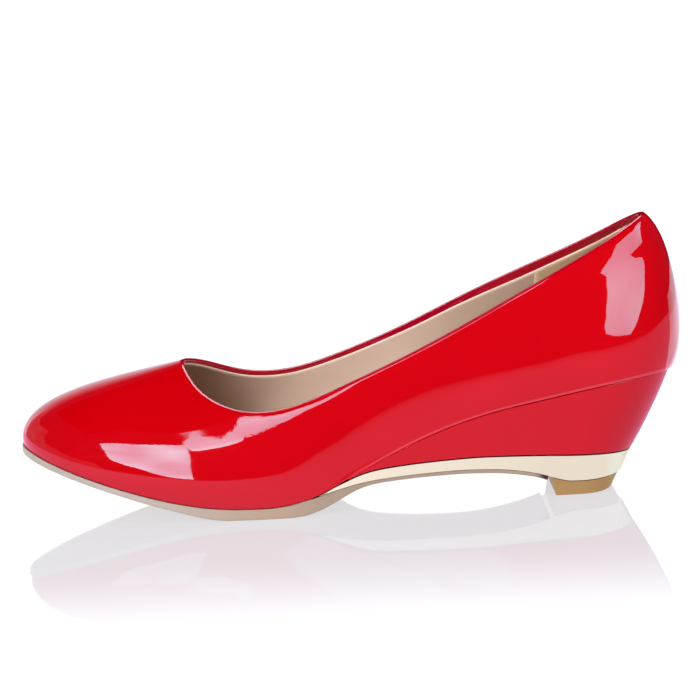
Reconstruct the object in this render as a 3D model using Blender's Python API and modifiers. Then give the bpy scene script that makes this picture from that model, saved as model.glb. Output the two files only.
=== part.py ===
"""Wedge pump, one left shoe, standing on its sole.

Six pieces: a hollow upper, an insole, an outsole, a covered wedge, a
heel band under the wedge and a top lift.  Metres, +Z up.  The toe points
to -X, the heel to +X, the outer (lateral) side faces -Y.

Stations below are millimetres measured from the toe tip along the shoe
(x), from the shoe's own axis (half widths) and from the floor (z).
"""
import math

import bmesh
import bpy
import numpy as np

# ---------------------------------------------------------------- sizes, mm
MM = 0.001
X_MID = 123.055          # station that lies on the world origin
Y_MID = -0.904            # middle of the whole width, off the shoe's axis
GAP = 0.3                # clearance kept between neighbouring pieces
WALL = 1.8               # upper with its lining
INSOLE_THICK = 1.9
INSOLE_INSET = 2.6       # insole edge inside the feather line
SOLE_PROUD = 0.5         # outsole edge outside the feather line
TOE_SWING = 3.2          # toe tip lies this far towards the inner side

FEATHER_START = 0.8      # where the upper begins behind the sole's tip
FEATHER_END = 243.3
TOE_ROUND, TOE_FULL = 60.0, 2.2       # length and fullness of the toe curve
SEAT_ROUND, SEAT_FULL = 30.0, 2.3     # the same for the round of the heel

WEDGE_START, WEDGE_END = 120.0, 241.6     # top edge of the covered wedge
BAND_START, BAND_END = 109.0, 226.3       # top edge of the heel band
BAND_FOOT_END = 222.6                     # its bottom edge, at the back
SOLE_BACK = 193.6                         # where the outsole stops
LIFT_FRONT, LIFT_FOOT_FRONT = 195.4, 196.4
LIFT_BACK, LIFT_FOOT_BACK = 221.6, 218.6
FLAT_FRONT, FLAT_BACK = 77.0, 99.0        # flat tread under the ball

AROUND = 104             # facets of the upper round the shoe
UPRIGHT = 11             # facets of the upper from sole to collar
EDGE = 60                # facets of the sole-like pieces, a side

# Half widths of the last at its feather edge, before the ends are rounded.
LAST = dict(
    x=[0, 20, 40, 60, 80, 95, 110, 130, 150, 170, 190, 210, 228, 245],
    lateral=[35.5, 34.9, 35.2, 37.0, 38.7, 38.7, 37.0, 33.4, 29.9, 27.4,
             26.6, 26.6, 26.6, 26.6],
    medial=[35.5, 35.2, 35.5, 36.4, 36.2, 34.0, 29.8, 25.1, 22.3, 21.9,
            23.5, 25.4, 26.2, 26.4],
)
# Heights along the outer edge: seat = underside of the upper.
SEAT = dict(
    x=[0, 10, 20, 30, 40, 50, 60, 70, 80, 90, 97, 104, 110, 117, 127.5, 138,
       148, 158.7, 169, 179.4, 189.7, 198.5, 207, 216, 226, 234, 244],
    z=[24.9, 21.1, 17.5, 14.2, 11.2, 8.5, 6.3, 4.7, 4.0, 3.9, 4.4, 5.8, 7.9,
       11.3, 16.4, 21.2, 25.4, 29.1, 32.0, 34.4, 36.3, 38.0, 39.6, 41.2,
       42.7, 43.5, 44.2],
)
TREAD = dict(
    x=[0, 10, 20, 30, 40, 50, 60, 66, 72, 77, 99, 104, 109, 114, 118, 122,
       126, 130, 134, 140, 148, 160, 174, 184, 190, 194, 198],
    z=[21.8, 18.4, 15.1, 11.9, 8.8, 5.8, 3.1, 1.5, 0.4, 0.0, 0.0, 0.35,
       1.5, 3.4, 5.4, 7.3, 8.7, 9.5, 9.9, 10.2, 10.5, 10.6, 10.0, 8.7, 7.4,
       6.1, 4.8],
)
BAND_TOP = dict(
    x=[109, 119, 125, 130, 139, 148, 160, 167, 180, 198, 213, 227],
    z=[7.4, 11.6, 13.8, 14.9, 15.8, 16.3, 16.7, 16.8, 16.4, 15.7, 15.0,
       13.9],
)
BAND_FOOT = dict(
    x=[104, 109, 114, 120, 125, 130, 140, 148, 160, 174, 184, 190, 194, 198,
       202, 210, 216, 223],
    z=[5.9, 6.9, 8.2, 9.6, 10.5, 11.1, 11.7, 12.0, 12.2, 11.6, 10.3, 9.0,
       7.8, 6.5, 5.7, 5.4, 5.6, 6.3],
)
# The arch stands higher on the inner side by this much.
ARCH_LIFT = dict(x=[95, 104, 114, 125, 145, 165, 180, 192, 200],
                 rise=[0, 0.25, 1.1, 1.9, 2.2, 1.9, 1.0, 0.25, 0])
# Half widths of the band: its top edge and its narrower bottom edge.
BAND = dict(
    x=[105, 110, 120, 130, 148, 167, 180, 198, 213, 230],
    top_lateral=[37.7, 36.9, 34.9, 32.9, 29.6, 27.0, 25.4, 24.4, 24.2, 24.2],
    top_medial=[31.1, 29.6, 26.9, 24.7, 22.1, 21.4, 21.8, 23.2, 23.8, 23.8],
    foot_lateral=[37.3, 36.2, 33.8, 31.5, 28.0, 25.2, 23.6, 22.4, 22.0, 22.0],
    foot_medial=[30.8, 29.0, 26.0, 23.5, 20.5, 19.7, 20.1, 21.2, 21.6, 21.6],
)
# Collar line, from the throat round the side to the back.
COLLAR = dict(
    x=[61.6, 63.9, 70.6, 83.5, 100.0, 120.0, 142.0, 165.0, 187.0, 206.0,
       220.5, 230.0, 233.6],
    lateral=[0.0, 10.6, 21.0, 29.4, 31.2, 30.1, 28.0, 25.6, 22.6, 18.6,
             13.2, 7.3, 0.0],
    z_lateral=[53.8, 49.6, 42.9, 38.6, 40.0, 46.7, 55.6, 66.2, 77.2, 86.8,
               94.4, 99.6, 101.2],
    medial=[0.0, 10.6, 21.0, 29.2, 31.0, 30.0, 28.0, 25.7, 22.7, 18.7,
            13.2, 7.3, 0.0],
    z_medial=[53.8, 52.9, 50.0, 45.1, 44.6, 49.8, 58.3, 69.1, 79.0, 87.4,
              94.6, 99.6, 101.2],
)
# Which point of the collar each point of the feather line runs up to, both
# as shares of the way from toe to heel.
RIB_WAY = dict(feather=[0, 0.18, 0.357, 0.50, 0.65, 0.8125, 1.0],
               collar=[0, 0.088, 0.212, 0.398, 0.607, 0.822, 1.0])
# Shape of the upper's ribs at seven sections, by their share of that way.
# in_ is a share of the step from feather to collar, out_ is millimetres
# outwards, up_ is a share of the height.
RIBS = dict(
    at=[0.0, 0.18, 0.36, 0.52, 0.66, 0.84, 1.0],
    in_2=[0.0, 0.04, 0.071, 0.349, 0.278, 0.06, 0.0],
    in_3=[0.266, 0.25, 0.232, 0.54, 0.412, 0.26, 0.0],
    in_4=[0.612, 0.6, 0.551, 0.663, 0.866, 0.6, 0.16],
    out_1=[1.7, 2, 2.196, -1.094, 1.704, 3.6, 3.9],
    out_2=[1.3, 2.6, 3.509, 0.398, 1.785, 4.6, 4.3],
    out_3=[0.0, 1, 1.923, 2.221, 2.941, 3.2, 1.2],
    out_4=[0.0, 0.2, 0.633, 0.963, 0.228, 1, 0.0],
    up_1=[0.136, 0.13, 0.14, 0.15, 0.15, 0.14, 0.135],
    up_2=[0.537, 0.47, 0.40, 0.38, 0.38, 0.38, 0.381],
    up_3=[0.710, 0.70, 0.65, 0.62, 0.62, 0.63, 0.627],
    up_4=[0.833, 0.85, 0.84, 0.84, 0.84, 0.87, 0.891],
)


# ------------------------------------------------------------------ curves
def spline(xs, ys, xq):
    """Natural cubic spline through a short table, read at xq."""
    xs = np.asarray(xs, float)
    ys = np.asarray(ys, float)
    xq = np.asarray(xq, float)
    n = len(xs)
    h = np.diff(xs)
    a = np.eye(n)
    rhs = np.zeros((n,) + ys.shape[1:])
    slope = (np.diff(ys, axis=0).T / h).T
    for i in range(1, n - 1):
        a[i, i - 1:i + 2] = h[i - 1], 2 * (h[i - 1] + h[i]), h[i]
        rhs[i] = 6 * (slope[i] - slope[i - 1])
    m = np.linalg.solve(a, rhs)
    k = np.clip(np.searchsorted(xs, xq) - 1, 0, n - 2)
    lo, hi = xs[k], xs[k + 1]
    w = hi - lo
    p, q = (hi - xq) / w, (xq - lo) / w
    if ys.ndim > 1:
        p, q, w = p[:, None], q[:, None], w[:, None]
    return (p * ys[k] + q * ys[k + 1]
            + ((p ** 3 - p) * m[k] + (q ** 3 - q) * m[k + 1]) * w * w / 6)


def loop_spline(points, sq):
    """Closed smooth curve through points given at equal steps of 0..1."""
    n = len(points)
    pad = 6
    idx = np.arange(-pad, n + pad + 1)
    return spline(idx / n, np.asarray(points)[idx % n], np.asarray(sq) % 1.0)


def smooth_table(table, column, x):
    """A table read as a curve that keeps flat stretches flat."""
    xs = np.asarray(table["x"], float)
    ys = np.asarray(table[column], float)
    d = np.diff(ys) / np.diff(xs)
    t = np.zeros(len(xs))
    for i in range(1, len(xs) - 1):
        if d[i - 1] * d[i] > 0:
            h0, h1 = xs[i] - xs[i - 1], xs[i + 1] - xs[i]
            t[i] = 3 * (h0 + h1) / ((2 * h1 + h0) / d[i - 1]
                                    + (h1 + 2 * h0) / d[i])
    t[0], t[-1] = d[0], d[-1]
    x = np.clip(np.asarray(x, float), xs[0], xs[-1])
    k = np.clip(np.searchsorted(xs, x) - 1, 0, len(xs) - 2)
    h = xs[k + 1] - xs[k]
    u = (x - xs[k]) / h
    return (ys[k] * (1 + 2 * u) * (1 - u) ** 2 + ys[k + 1] * u * u * (3 - 2 * u)
            + h * t[k] * u * (1 - u) ** 2 - h * t[k + 1] * u * u * (1 - u))


def swing(x):
    return TOE_SWING * np.clip(1 - np.asarray(x, float) / 95.0, 0, 1) ** 3


def ends(x, start, end, toe=(TOE_ROUND, TOE_FULL), seat=(SEAT_ROUND, SEAT_FULL)):
    """Factor that rounds an outline off at its toe and heel ends."""
    x = np.asarray(x, float)
    f = np.ones_like(x)
    if toe:
        a = np.clip((toe[0] - (x - start)) / toe[0], 0, 1)
        f = f * np.sqrt(np.clip(1 - a ** toe[1], 0, 1))
    if seat:
        b = np.clip((seat[0] - (end - x)) / seat[0], 0, 1)
        f = f * np.sqrt(np.clip(1 - b ** seat[1], 0, 1))
    return f


def feather_y(x, side, grow=0.0, start=FEATHER_START, end=FEATHER_END):
    """Signed distance of the feather line from the axis; side -1 or +1."""
    col = "lateral" if side < 0 else "medial"
    w = smooth_spline(LAST, col, x) + grow
    return swing(x) + side * w * ends(x, start, end)


def smooth_spline(table, column, x):
    return spline(table["x"], table[column], np.asarray(x, float))


def across(x, y):
    """How far across the shoe a point lies: 0 outer edge, 1 inner edge."""
    lat = smooth_spline(LAST, "lateral", x)
    med = smooth_spline(LAST, "medial", x)
    return (y + lat) / (lat + med)


def height(table, x, y, column="z"):
    """Height of a sole surface at (x, y), with the arch's inner lift."""
    x = np.asarray(x, float)
    return (smooth_table(table, column, x)
            + smooth_table(ARCH_LIFT, "rise", x) * across(x, y))


def by_length(x_dense, pts, n):
    """n+1 stations of x_dense, evenly spaced along the curve pts."""
    step = np.linalg.norm(np.diff(pts, axis=0), axis=1)
    run = np.concatenate([[0], np.cumsum(step)])
    return np.interp(np.linspace(0, run[-1], n + 1), run, x_dense)


def dense(start, end, n=4000):
    return start + (end - start) * (1 - np.cos(np.linspace(0, math.pi, n))) / 2


# ------------------------------------------------------------------- upper
def upper_loops(stations=52):
    """Six control loops that run round the upper, feather to collar."""
    half = stations // 2
    share = np.linspace(0, 1, half + 1)
    sides = []
    for side, name in ((-1, "lateral"), (1, "medial")):
        x = dense(FEATHER_START, FEATHER_END)
        y = feather_y(x, side)
        flat = np.stack([x, y], 1)
        z = height(SEAT, x, y)
        run = np.concatenate([[0], np.cumsum(
            np.linalg.norm(np.diff(flat, axis=0), axis=1))])
        at = share * run[-1]
        foot = np.stack([np.interp(at, run, v) for v in (x, y, z)], 1)
        tan = np.stack([np.interp(at, run, np.gradient(v, run))
                        for v in (x, y)], 1)
        tan /= np.linalg.norm(tan, axis=1)[:, None]
        out = np.stack([tan[:, 1], -tan[:, 0]], 1)
        out = np.where((out[:, 1] * side >= 0)[:, None], out, -out)
        out[0], out[-1] = (-1.0, 0.0), (1.0, 0.0)

        rows = np.stack([np.asarray(COLLAR["x"], float),
                         side * np.asarray(COLLAR[name], float),
                         np.asarray(COLLAR["z_" + name], float)], 1)
        mirror = rows[1:-1][::-1] * (1, -1, 1)
        ring = np.concatenate([rows, mirror])
        closed = np.concatenate([ring, ring[:1]])
        chord = np.concatenate([[0], np.cumsum(
            np.linalg.norm(np.diff(closed, axis=0), axis=1))])
        k = len(ring)
        pad = 5
        idx = np.arange(-pad, k + pad + 1)
        knot = chord[idx % k] + (idx // k) * chord[-1]
        fine = np.linspace(0, chord[len(rows) - 1], 3000)
        line = spline(knot, ring[idx % k], fine)
        run_c = np.concatenate([[0], np.cumsum(
            np.linalg.norm(np.diff(line, axis=0), axis=1))])
        way = spline(RIB_WAY["feather"], RIB_WAY["collar"], share)
        at_c = way * run_c[-1]
        rim = np.stack([np.interp(at_c, run_c, line[:, j])
                        for j in range(3)], 1)

        step = rim[:, :2] - foot[:, :2]
        rise = rim[:, 2] - foot[:, 2]
        loops = [foot]
        for j in (1, 2, 3, 4):
            inn = (spline(RIBS["at"], RIBS["in_%d" % j], share)
                   if j > 1 else np.zeros(half + 1))
            off = spline(RIBS["at"], RIBS["out_%d" % j], share)
            up = spline(RIBS["at"], RIBS["up_%d" % j], share)
            p = np.empty((half + 1, 3))
            p[:, :2] = foot[:, :2] + step * inn[:, None] + out * off[:, None]
            p[:, 2] = foot[:, 2] + rise * up
            loops.append(p)
        loops.append(rim)
        sides.append(np.stack(loops))
    lat, med = sides
    return np.concatenate([lat, med[:, -2:0:-1]], axis=1)


def upper_point(loops, s, h):
    """Points of the outer surface; s goes round, h from sole to collar."""
    ctrl = np.stack([loop_spline(loop, s) for loop in loops])
    h = np.asarray(h, float)
    n = len(loops) - 1
    pts = 0
    for j in range(n + 1):
        b = math.comb(n, j) * h ** j * (1 - h) ** (n - j)
        pts = pts + b[:, None, None] * ctrl[j][None]
    return pts                                   # rows h, columns s


# -------------------------------------------------------------- sole shapes
def edge_rows(start, end, lateral, medial, n, toe, seat, shape=None):
    """Stations with their outer and inner edge, evenly along the edge."""
    x = dense(start, end)
    f = ends(x, start, end, toe, seat)
    yl = swing(x) - lateral(x) * f
    ref = np.stack([x, yl], 1)
    xs = by_length(x, ref, n)
    f = ends(xs, start, end, toe, seat)
    return xs, swing(xs) - lateral(xs) * f, swing(xs) + medial(xs) * f


def solid(name, levels, tips, colour, rough, metal=0.0):
    """Closed body lofted through outlines.

    levels, bottom to top, hold (x, y_outer, y_inner, z function).  tips
    says whether the front and the back of the outline come to one point.
    """
    bm = bmesh.new()
    rings = []
    for xs, yl, ym, zf in levels:
        n = len(xs)
        outer = [bm.verts.new(world(xs[i], yl[i], zf(xs[i], yl[i])))
                 for i in range(n)]
        inner = []
        for i in range(n):
            if (i == 0 and tips[0]) or (i == n - 1 and tips[1]):
                inner.append(outer[i])
            else:
                inner.append(bm.verts.new(world(xs[i], ym[i],
                                                zf(xs[i], ym[i]))))
        rings.append((outer, inner))

    def face(*verts):
        loop = []
        for v in verts:
            if v not in loop:
                loop.append(v)
        if len(loop) > 2:
            bm.faces.new(loop)

    for (o0, i0), (o1, i1) in zip(rings, rings[1:]):
        n = len(o0)
        for k in range(n - 1):
            face(o0[k], o0[k + 1], o1[k + 1], o1[k])
            face(i0[k + 1], i0[k], i1[k], i1[k + 1])
        if not tips[0]:
            face(i0[0], o0[0], o1[0], i1[0])
        if not tips[1]:
            face(o0[-1], i0[-1], i1[-1], o1[-1])
    for (o, i), flip in ((rings[0], True), (rings[-1], False)):
        for k in range(len(o) - 1):
            quad = (o[k], o[k + 1], i[k + 1], i[k])
            face(*(quad[::-1] if flip else quad))
    bmesh.ops.recalc_face_normals(bm, faces=bm.faces)
    return finish(name, bm, colour, rough, metal)


def world(x, y, z):
    return ((x - X_MID) * MM, (y - Y_MID) * MM, z * MM)


def finish(name, bm, colour, rough, metal):
    mesh = bpy.data.meshes.new(name)
    bm.to_mesh(mesh)
    bm.free()
    mesh.shade_smooth()
    mesh.set_sharp_from_angle(angle=math.radians(35))
    obj = bpy.data.objects.new(name, mesh)
    mat = bpy.data.materials.new(name + "_finish")
    mat.use_nodes = True
    bsdf = mat.node_tree.nodes["Principled BSDF"]
    bsdf.inputs["Base Color"].default_value = (*colour, 1)
    bsdf.inputs["Roughness"].default_value = rough
    bsdf.inputs["Metallic"].default_value = metal
    mesh.materials.append(mat)
    shoe.objects.link(obj)
    return obj


# -------------------------------------------------------------------- build
for old in list(bpy.data.objects):
    bpy.data.objects.remove(old, do_unlink=True)
shoe = bpy.data.collections.new("wedge_pump")
bpy.context.scene.collection.children.link(shoe)

# Upper: the last's surface as an open band, thickened inwards.
loops = upper_loops()
grid = upper_point(loops, np.arange(AROUND) / AROUND,
                   np.linspace(0, 1, UPRIGHT + 1) ** 1.12)
bm = bmesh.new()
rows = [[bm.verts.new(world(*p)) for p in row] for row in grid]
for r0, r1 in zip(rows, rows[1:]):
    for k in range(AROUND):
        m = (k + 1) % AROUND
        bm.faces.new((r0[k], r0[m], r1[m], r1[k]))
bmesh.ops.recalc_face_normals(bm, faces=bm.faces)
mid = bm.faces[:][AROUND * 3]
centre = mid.calc_center_median()
if centre.x * mid.normal.x + (centre.y - 0.0) * mid.normal.y < 0:
    bmesh.ops.reverse_faces(bm, faces=bm.faces)
upper = finish("upper", bm, (0.62, 0.0, 0.006), 0.08, 0.0)
wall = upper.modifiers.new("wall", "SOLIDIFY")
wall.thickness = WALL * MM
wall.offset = -1.0
wall.use_even_offset = True
wall.use_quality_normals = True

# Insole: a thin board inside the upper, on the sole and the wedge.
start, end = FEATHER_START + INSOLE_INSET, FEATHER_END - INSOLE_INSET
xs, yl, ym = edge_rows(
    start, end,
    lambda x: smooth_spline(LAST, "lateral", x) - INSOLE_INSET,
    lambda x: smooth_spline(LAST, "medial", x) - INSOLE_INSET,
    EDGE, (TOE_ROUND - 2, TOE_FULL), (SEAT_ROUND - 1, SEAT_FULL))
solid("insole",
      [(xs, yl, ym, lambda x, y: height(SEAT, x, y)),
       (xs, yl, ym, lambda x, y: height(SEAT, x, y) + INSOLE_THICK)],
      (True, True), (0.62, 0.5, 0.38), 0.7)

# Outsole: under the upper in front, then under the band to the heel.


def blend(x, lo, hi):
    u = np.clip((np.asarray(x, float) - lo) / (hi - lo), 0, 1)
    return u * u * (3 - 2 * u)


def sole_half(side, inset):
    """Outsole half width: proud in front, inside the band behind."""
    def half(x):
        front = smooth_spline(LAST, side, x) + SOLE_PROUD - inset
        back = smooth_spline(BAND, "foot_" + side, np.clip(x, 105, 230)) - 0.5
        b = blend(x, 98, 114)
        return front * (1 - b) + back * b
    return half


def sole_top(x, y):
    """Top of the outsole: follows the upper, then the band's underside."""
    under_upper = height(SEAT, x, y) - GAP
    under_band = height(BAND_FOOT, x, y) - GAP
    b = blend(x, 102.0, 107.5)
    return under_upper * (1 - b) + under_band * b


def sole_foot(x, y):
    return height(TREAD, x, y)


xs, yl, ym = edge_rows(0.0, SOLE_BACK, sole_half("lateral", 0),
                       sole_half("medial", 0), EDGE, (TOE_ROUND, TOE_FULL), None)
solid("outsole", [(xs, yl, ym, sole_foot), (xs, yl, ym, sole_top)],
      (True, False), (0.55, 0.44, 0.32), 0.6)


def band_half(edge, side):
    return lambda x: smooth_spline(BAND, edge + "_" + side, x)


def band_top(x, y):
    """Band's top: under the upper at its thin tip, then under the wedge."""
    under_upper = height(SEAT, x, y) - GAP
    under_wedge = height(BAND_TOP, x, y)
    return np.minimum(under_upper, under_wedge)


# Heel band: a thin-fronted plate all along the underside of the wedge.
tx, tl, tm = edge_rows(BAND_START, BAND_END, band_half("top", "lateral"),
                       band_half("top", "medial"), EDGE, None,
                       (26.0, SEAT_FULL))
share = (tx - BAND_START) / (BAND_END - BAND_START)
fx = BAND_START + share * (BAND_FOOT_END - BAND_START)
ff = ends(fx, BAND_START, BAND_FOOT_END, None, (24.0, SEAT_FULL))
fl = swing(fx) - band_half("foot", "lateral")(fx) * ff
fm = swing(fx) + band_half("foot", "medial")(fx) * ff
solid("heel_band",
      [(fx, fl, fm, lambda x, y: height(BAND_FOOT, x, y)),
       (tx, tl, tm, band_top)],
      (False, True), (0.86, 0.74, 0.48), 0.12, 1.0)

# Wedge: from the band up to the seat, drawn in towards the floor.
wx, wl, wm = edge_rows(
    WEDGE_START, WEDGE_END,
    lambda x: smooth_spline(LAST, "lateral", x) - 0.3,
    lambda x: smooth_spline(LAST, "medial", x) - 0.3, EDGE, None,
    (SEAT_ROUND, SEAT_FULL))
share = (wx - WEDGE_START) / (WEDGE_END - WEDGE_START)
bx = WEDGE_START + share * (BAND_END + 0.2 - WEDGE_START)
bf = ends(bx, WEDGE_START, BAND_END + 0.2, None, (26.0, SEAT_FULL))
bl = swing(bx) - (band_half("top", "lateral")(bx) + 0.2) * bf
bmd = swing(bx) + (band_half("top", "medial")(bx) + 0.2) * bf


def mix(a, b, t):
    return a * (1 - t) + b * t


def wedge_foot(x, y):
    return height(BAND_TOP, x, y) + GAP


def wedge_top(x, y):
    return np.maximum(height(SEAT, x, y) - GAP, wedge_foot(x, y) + 0.15)


BELLY = 0.8              # how far the wedge's back face swells, mm
levels = [(bx, bl, bmd, wedge_foot)]
zb_l, zb_m = wedge_foot(bx, bl), wedge_foot(bx, bmd)
zt_l, zt_m = wedge_top(wx, wl), wedge_top(wx, wm)
for t in (0.33, 0.67):
    mx = mix(bx, wx, t) + BELLY * share ** 8
    ml, mm_ = mix(bl, wl, t), mix(bmd, wm, t)
    table = dict(x=list(mx), l=list(mix(zb_l, zt_l, t)),
                 m=list(mix(zb_m, zt_m, t)), yl=list(ml), ym=list(mm_))

    def level(x, y, table=table):
        k = int(np.argmin(np.abs(np.asarray(table["x"]) - x)))
        near = abs(y - table["yl"][k]) <= abs(y - table["ym"][k])
        return table["l"][k] if near else table["m"][k]
    levels.append((mx, ml, mm_, level))
levels.append((wx, wl, wm, wedge_top))
solid("wedge", levels, (False, True), (0.60, 0.0, 0.006), 0.08)

# Top lift: the small tan block under the back of the band.
ux, ul, um = edge_rows(LIFT_FRONT, LIFT_BACK,
                       lambda x: band_half("foot", "lateral")(x) - 0.5,
                       lambda x: band_half("foot", "medial")(x) - 0.5, 14,
                       None, (22.0, SEAT_FULL))
share = (ux - LIFT_FRONT) / (LIFT_BACK - LIFT_FRONT)
lx = LIFT_FOOT_FRONT + share * (LIFT_FOOT_BACK - LIFT_FOOT_FRONT)
lf = ends(lx, LIFT_FOOT_FRONT, LIFT_FOOT_BACK, None, (19.5, SEAT_FULL))
ll = swing(lx) - (band_half("foot", "lateral")(lx) - 2.6) * lf
lm = swing(lx) + (band_half("foot", "medial")(lx) - 2.6) * lf
solid("top_lift",
      [(lx, ll, lm, lambda x, y: 0.0 * x),
       (ux, ul, um, lambda x, y: height(BAND_FOOT, x, y) - GAP)],
      (False, True), (0.45, 0.28, 0.13), 0.5)
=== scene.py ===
import math

import bpy
import numpy as np
from mathutils import Matrix, Vector, noise
from mathutils.geometry import tessellate_polygon

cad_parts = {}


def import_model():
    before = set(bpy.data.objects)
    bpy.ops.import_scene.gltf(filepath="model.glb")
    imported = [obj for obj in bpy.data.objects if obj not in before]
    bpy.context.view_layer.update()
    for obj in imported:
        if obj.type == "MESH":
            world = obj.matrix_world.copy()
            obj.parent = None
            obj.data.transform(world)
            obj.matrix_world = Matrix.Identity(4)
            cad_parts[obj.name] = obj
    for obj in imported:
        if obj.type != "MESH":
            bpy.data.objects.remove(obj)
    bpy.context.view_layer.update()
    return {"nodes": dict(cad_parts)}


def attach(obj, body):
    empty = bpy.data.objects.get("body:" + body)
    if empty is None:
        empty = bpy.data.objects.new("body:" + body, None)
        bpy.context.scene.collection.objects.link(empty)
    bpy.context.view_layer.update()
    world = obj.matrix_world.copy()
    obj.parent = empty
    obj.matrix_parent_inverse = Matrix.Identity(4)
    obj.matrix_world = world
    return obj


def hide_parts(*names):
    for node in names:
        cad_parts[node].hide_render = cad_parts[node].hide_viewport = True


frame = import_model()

# Looks of a wedge pump.  Shapes below are worked out in the shoe's own
# millimetres, as in the part: x from the toe tip, y from the shoe's axis
# (outer side negative), z from the floor.
MM = 0.001
X_MID, Y_MID = 123.055, -0.904
GAP = 0.3
SOLE_PROUD = 0.5
CLOSE = 0.05                  # what is left of the gap where covers meet
TOE_SWING = 3.2
FEATHER_START, FEATHER_END = 0.8, 243.3
TOE_ROUND, TOE_FULL = 60.0, 2.2
SEAT_ROUND, SEAT_FULL = 30.0, 2.3
WEDGE_START, WEDGE_END = 120.0, 241.6
BAND_START, BAND_END = 109.0, 226.3
BAND_FOOT_END = 222.6
SOLE_BACK = 193.6
LIFT_FRONT, LIFT_FOOT_FRONT = 195.4, 196.4
LIFT_BACK, LIFT_FOOT_BACK = 221.6, 218.6
BELLY = 0.8

LAST = dict(
    x=[0, 20, 40, 60, 80, 95, 110, 130, 150, 170, 190, 210, 228, 245],
    lateral=[35.5, 34.9, 35.2, 37.0, 38.7, 38.7, 37.0, 33.4, 29.9, 27.4,
             26.6, 26.6, 26.6, 26.6],
    medial=[35.5, 35.2, 35.5, 36.4, 36.2, 34.0, 29.8, 25.1, 22.3, 21.9,
            23.5, 25.4, 26.2, 26.4],
)
SEAT = dict(
    x=[0, 10, 20, 30, 40, 50, 60, 70, 80, 90, 97, 104, 110, 117, 127.5, 138,
       148, 158.7, 169, 179.4, 189.7, 198.5, 207, 216, 226, 234, 244],
    z=[24.9, 21.1, 17.5, 14.2, 11.2, 8.5, 6.3, 4.7, 4.0, 3.9, 4.4, 5.8, 7.9,
       11.3, 16.4, 21.2, 25.4, 29.1, 32.0, 34.4, 36.3, 38.0, 39.6, 41.2,
       42.7, 43.5, 44.2],
)
TREAD = dict(
    x=[0, 10, 20, 30, 40, 50, 60, 66, 72, 77, 99, 104, 109, 114, 118, 122,
       126, 130, 134, 140, 148, 160, 174, 184, 190, 194, 198],
    z=[21.8, 18.4, 15.1, 11.9, 8.8, 5.8, 3.1, 1.5, 0.4, 0.0, 0.0, 0.35,
       1.5, 3.4, 5.4, 7.3, 8.7, 9.5, 9.9, 10.2, 10.5, 10.6, 10.0, 8.7, 7.4,
       6.1, 4.8],
)
BAND_TOP = dict(
    x=[109, 119, 125, 130, 139, 148, 160, 167, 180, 198, 213, 227],
    z=[7.4, 11.6, 13.8, 14.9, 15.8, 16.3, 16.7, 16.8, 16.4, 15.7, 15.0,
       13.9],
)
BAND_FOOT = dict(
    x=[104, 109, 114, 120, 125, 130, 140, 148, 160, 174, 184, 190, 194, 198,
       202, 210, 216, 223],
    z=[5.9, 6.9, 8.2, 9.6, 10.5, 11.1, 11.7, 12.0, 12.2, 11.6, 10.3, 9.0,
       7.8, 6.5, 5.7, 5.4, 5.6, 6.3],
)
ARCH_LIFT = dict(x=[95, 104, 114, 125, 145, 165, 180, 192, 200],
                 rise=[0, 0.25, 1.1, 1.9, 2.2, 1.9, 1.0, 0.25, 0])
BAND = dict(
    x=[105, 110, 120, 130, 148, 167, 180, 198, 213, 230],
    top_lateral=[37.7, 36.9, 34.9, 32.9, 29.6, 27.0, 25.4, 24.4, 24.2, 24.2],
    top_medial=[31.1, 29.6, 26.9, 24.7, 22.1, 21.4, 21.8, 23.2, 23.8, 23.8],
    foot_lateral=[37.3, 36.2, 33.8, 31.5, 28.0, 25.2, 23.6, 22.4, 22.0, 22.0],
    foot_medial=[30.8, 29.0, 26.0, 23.5, 20.5, 19.7, 20.1, 21.2, 21.6, 21.6],
)
COLLAR = dict(
    x=[61.6, 63.9, 70.6, 83.5, 100.0, 120.0, 142.0, 165.0, 187.0, 206.0,
       220.5, 230.0, 233.6],
    lateral=[0.0, 10.6, 21.0, 29.4, 31.2, 30.1, 28.0, 25.6, 22.6, 18.6,
             13.2, 7.3, 0.0],
    z_lateral=[53.8, 49.6, 42.9, 38.6, 40.0, 46.7, 55.6, 66.2, 77.2, 86.8,
               94.4, 99.6, 101.2],
    medial=[0.0, 10.6, 21.0, 29.2, 31.0, 30.0, 28.0, 25.7, 22.7, 18.7,
            13.2, 7.3, 0.0],
    z_medial=[53.8, 52.9, 50.0, 45.1, 44.6, 49.8, 58.3, 69.1, 79.0, 87.4,
              94.6, 99.6, 101.2],
)
RIB_WAY = dict(feather=[0, 0.18, 0.357, 0.50, 0.65, 0.8125, 1.0],
               collar=[0, 0.088, 0.212, 0.398, 0.607, 0.822, 1.0])
RIBS = dict(
    at=[0.0, 0.18, 0.36, 0.52, 0.66, 0.84, 1.0],
    in_2=[0.0, 0.04, 0.071, 0.349, 0.278, 0.06, 0.0],
    in_3=[0.266, 0.25, 0.232, 0.54, 0.412, 0.26, 0.0],
    in_4=[0.612, 0.6, 0.551, 0.663, 0.866, 0.6, 0.16],
    out_1=[1.7, 2, 2.196, -1.094, 1.704, 3.6, 3.9],
    out_2=[1.3, 2.6, 3.509, 0.398, 1.785, 4.6, 4.3],
    out_3=[0.0, 1, 1.923, 2.221, 2.941, 3.2, 1.2],
    out_4=[0.0, 0.2, 0.633, 0.963, 0.228, 1, 0.0],
    up_1=[0.136, 0.13, 0.14, 0.15, 0.15, 0.14, 0.135],
    up_2=[0.537, 0.47, 0.40, 0.38, 0.38, 0.38, 0.381],
    up_3=[0.710, 0.70, 0.65, 0.62, 0.62, 0.63, 0.627],
    up_4=[0.833, 0.85, 0.84, 0.84, 0.84, 0.87, 0.891],
)


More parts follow.
